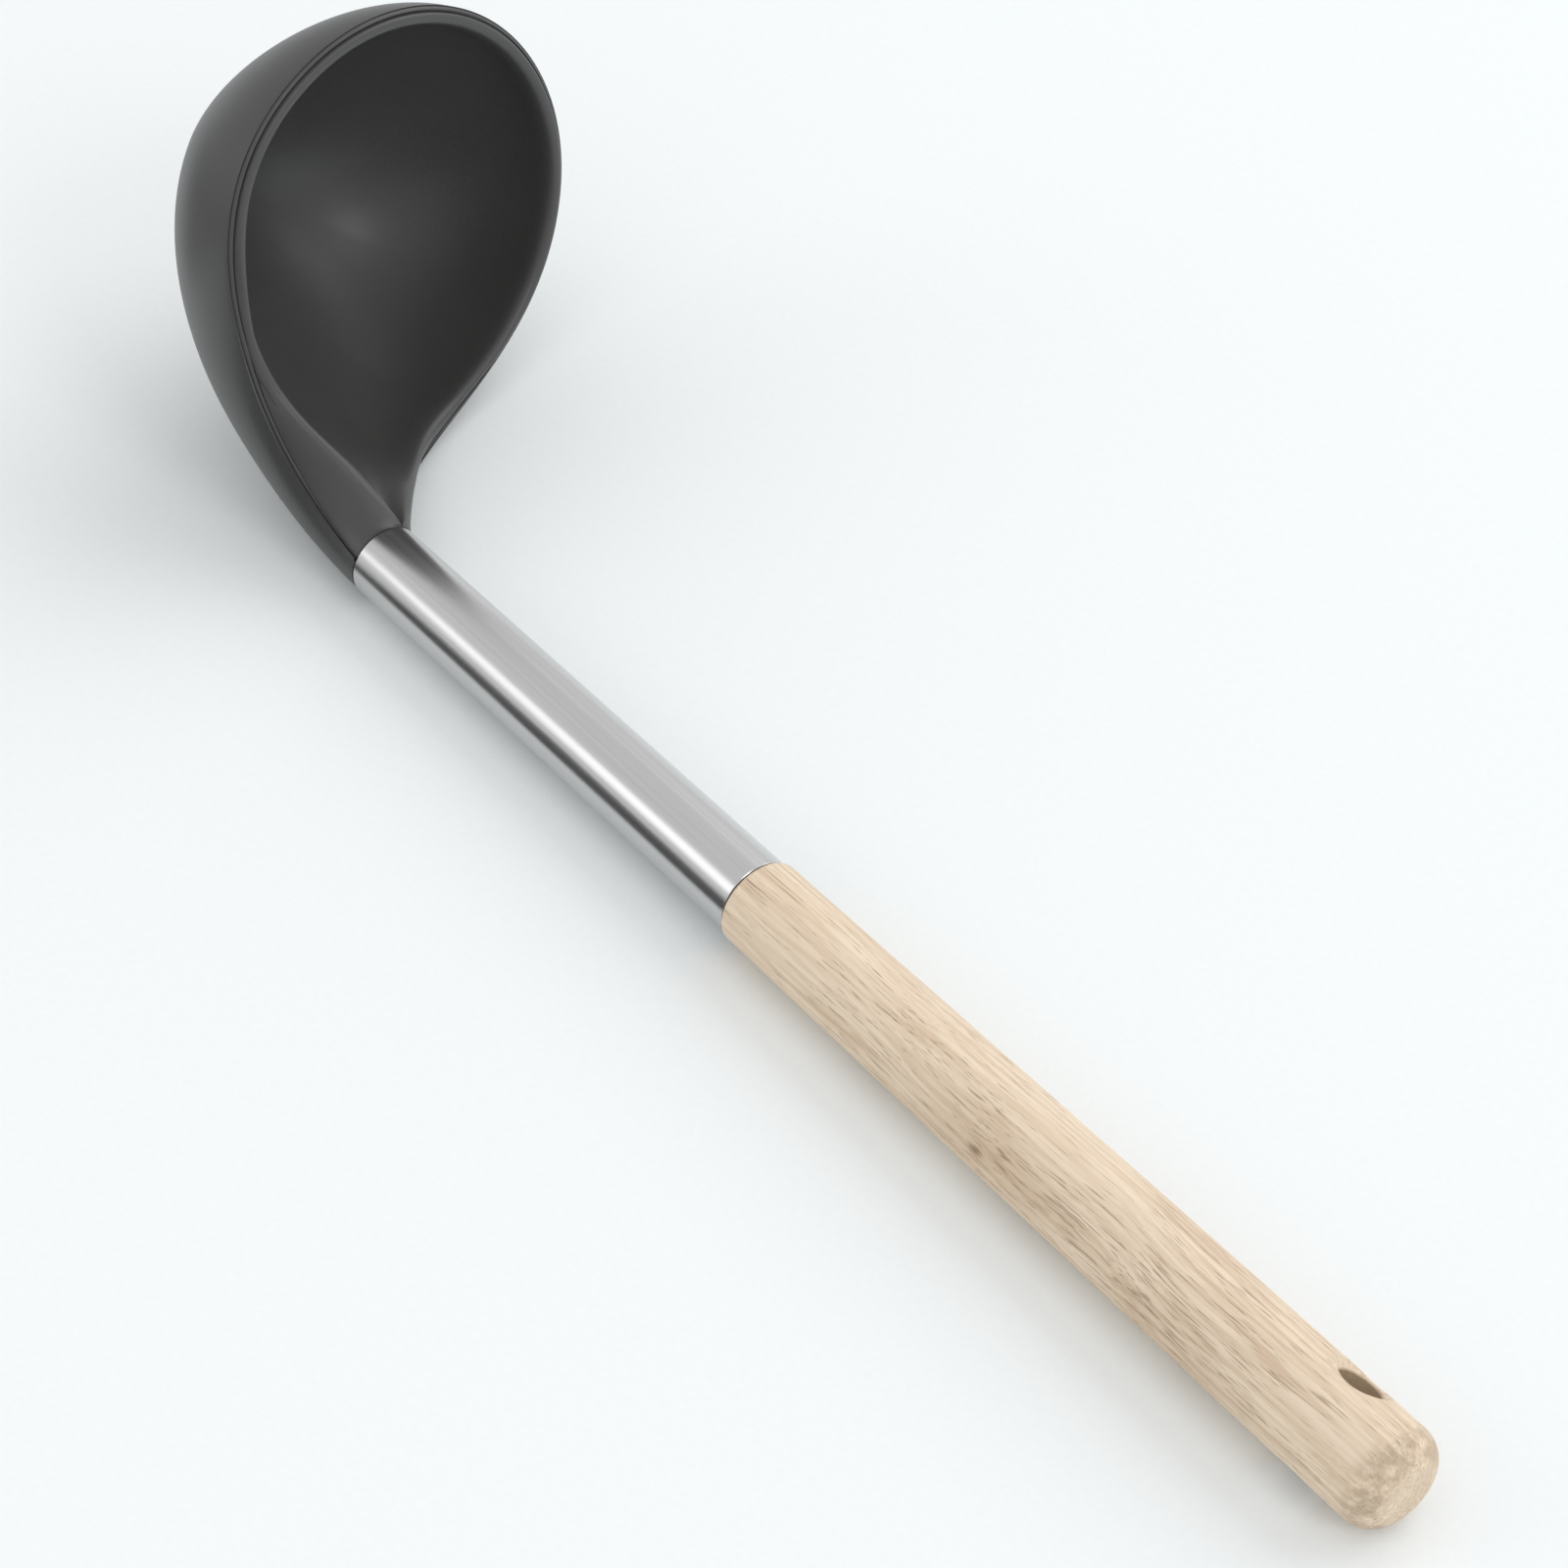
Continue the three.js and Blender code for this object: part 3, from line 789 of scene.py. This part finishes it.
make_head()
make_tube()
make_handle()
core = frame["nodes"]["nylon_core"]
core.data.materials.clear()
core.data.materials.append(moulded_nylon())

# Table

TABLE_SIZE = 6

deselect()
bpy.ops.mesh.primitive_plane_add(size=TABLE_SIZE)
table = named("table")
table.data.materials.append(pale_table())

# Cards lying beside the ladle, seen only in the gloss: a black one for the steel and the wood,
# and a grey one for the bowl's outer wall

CARD_WIDTH = 0.6
CARD_MIDDLE = -0.36
CARD_HEIGHT = 0.3 * MM
CARD_UPTURN = 50 * MM


def select_vertices(thing, numbers):
    """Leaves a piece in edit mode with only these vertices selected."""
    bpy.ops.object.mode_set(mode="EDIT")
    bpy.ops.mesh.select_all(action="DESELECT")
    bpy.ops.object.mode_set(mode="OBJECT")
    for number in numbers:
        thing.data.vertices[number].select = True
    bpy.ops.object.mode_set(mode="EDIT")


def card_with_upturn(name, near_ends, far_ends, shade):
    """A card, by the x of the two ends of its near edge and of its upturned far edge."""
    deselect()
    place = (0, CARD_MIDDLE, CARD_HEIGHT)
    bpy.ops.mesh.primitive_plane_add(size=CARD_WIDTH, location=place)
    card = named(name)
    bpy.ops.object.transform_apply(location=True, rotation=True, scale=True)
    corners = sorted(card.data.vertices, key=lambda v: (v.co.y < CARD_MIDDLE, v.co.x))
    slides = [(v.index, end - v.co.x) for v, end in zip(corners, near_ends + far_ends)]
    for number, slide in slides:
        select_vertices(card, [number])
        bpy.ops.transform.translate(value=(slide, 0, 0))
    select_vertices(card, [number for number, _ in slides[2:]])
    bpy.ops.mesh.extrude_region_move(TRANSFORM_OT_translate={"value": (0, 0, CARD_UPTURN)})
    bpy.ops.object.mode_set(mode="OBJECT")
    card.data.materials.append(plain_card(name, shade))
    card.visible_camera = False
    card.visible_diffuse = False
    card.visible_shadow = False


card_with_upturn("black card", near_ends=(-0.125, 0.4), far_ends=(-0.56, 0.4), shade=0.02)
card_with_upturn("grey card", near_ends=(-0.8, -0.22), far_ends=(-0.8, -0.56), shade=0.3)

# Camera, at the place from which the ladle was seen

CAMERA_PLACE = Vector((401.86, -333.34, 526.55)) * MM
CAMERA_DOWN = math.radians(45.156)
CAMERA_HEADING = math.radians(141.433)
CAMERA_ROLL = math.radians(0.025)
CAMERA_FOCAL = 4146.1
IMAGE_SIZE = 1600

camera_data = bpy.data.cameras.new("camera")
camera_data.sensor_fit = "HORIZONTAL"
camera_data.lens = camera_data.sensor_width * CAMERA_FOCAL / IMAGE_SIZE
camera = bpy.data.objects.new("camera", camera_data)
bpy.context.collection.objects.link(camera)
aim = Euler((math.pi / 2 - CAMERA_DOWN, 0, CAMERA_HEADING - math.pi / 2)).to_matrix().to_4x4()
roll = Matrix.Rotation(CAMERA_ROLL, 4, "Z")
camera.matrix_world = Matrix.Translation(CAMERA_PLACE) @ aim @ roll
bpy.context.scene.camera = camera

# Light

WORLD_STRENGTH = 0.785

world = bpy.data.worlds.new("studio")
world.use_nodes = True
background = world.node_tree.nodes["Background"]
background.inputs["Color"].default_value = (1, 1, 1, 1)
background.inputs["Strength"].default_value = WORLD_STRENGTH
bpy.context.scene.world = world


def softbox(name, place, size, power, shape="RECTANGLE", tilt=0):
    """An area lamp that faces the ladle, tilted about its own axis by some degrees."""
    data = bpy.data.lights.new(name, "AREA")
    data.shape = shape
    data.size, data.size_y = size
    data.energy = power
    lamp = bpy.data.objects.new(name, data)
    bpy.context.collection.objects.link(lamp)
    lamp.location = place
    facing = (-Vector(place)).to_track_quat("-Z", "Y").to_matrix()
    lamp.rotation_euler = (facing @ Matrix.Rotation(math.radians(tilt), 3, "Z")).to_euler()


softbox("back", place=(0.2, 2.3, 1.9), size=(3.8, 2.2), power=31)
softbox("side window", place=(-0.86, -1.17, 0.80), size=(0.8, 0.58), power=1.22,
        shape="ELLIPSE", tilt=20)
softbox("front window", place=(2.4, 0.17, 1.97), size=(0.9, 0.9), power=10.5)

bpy.context.scene.view_settings.view_transform = "Standard"
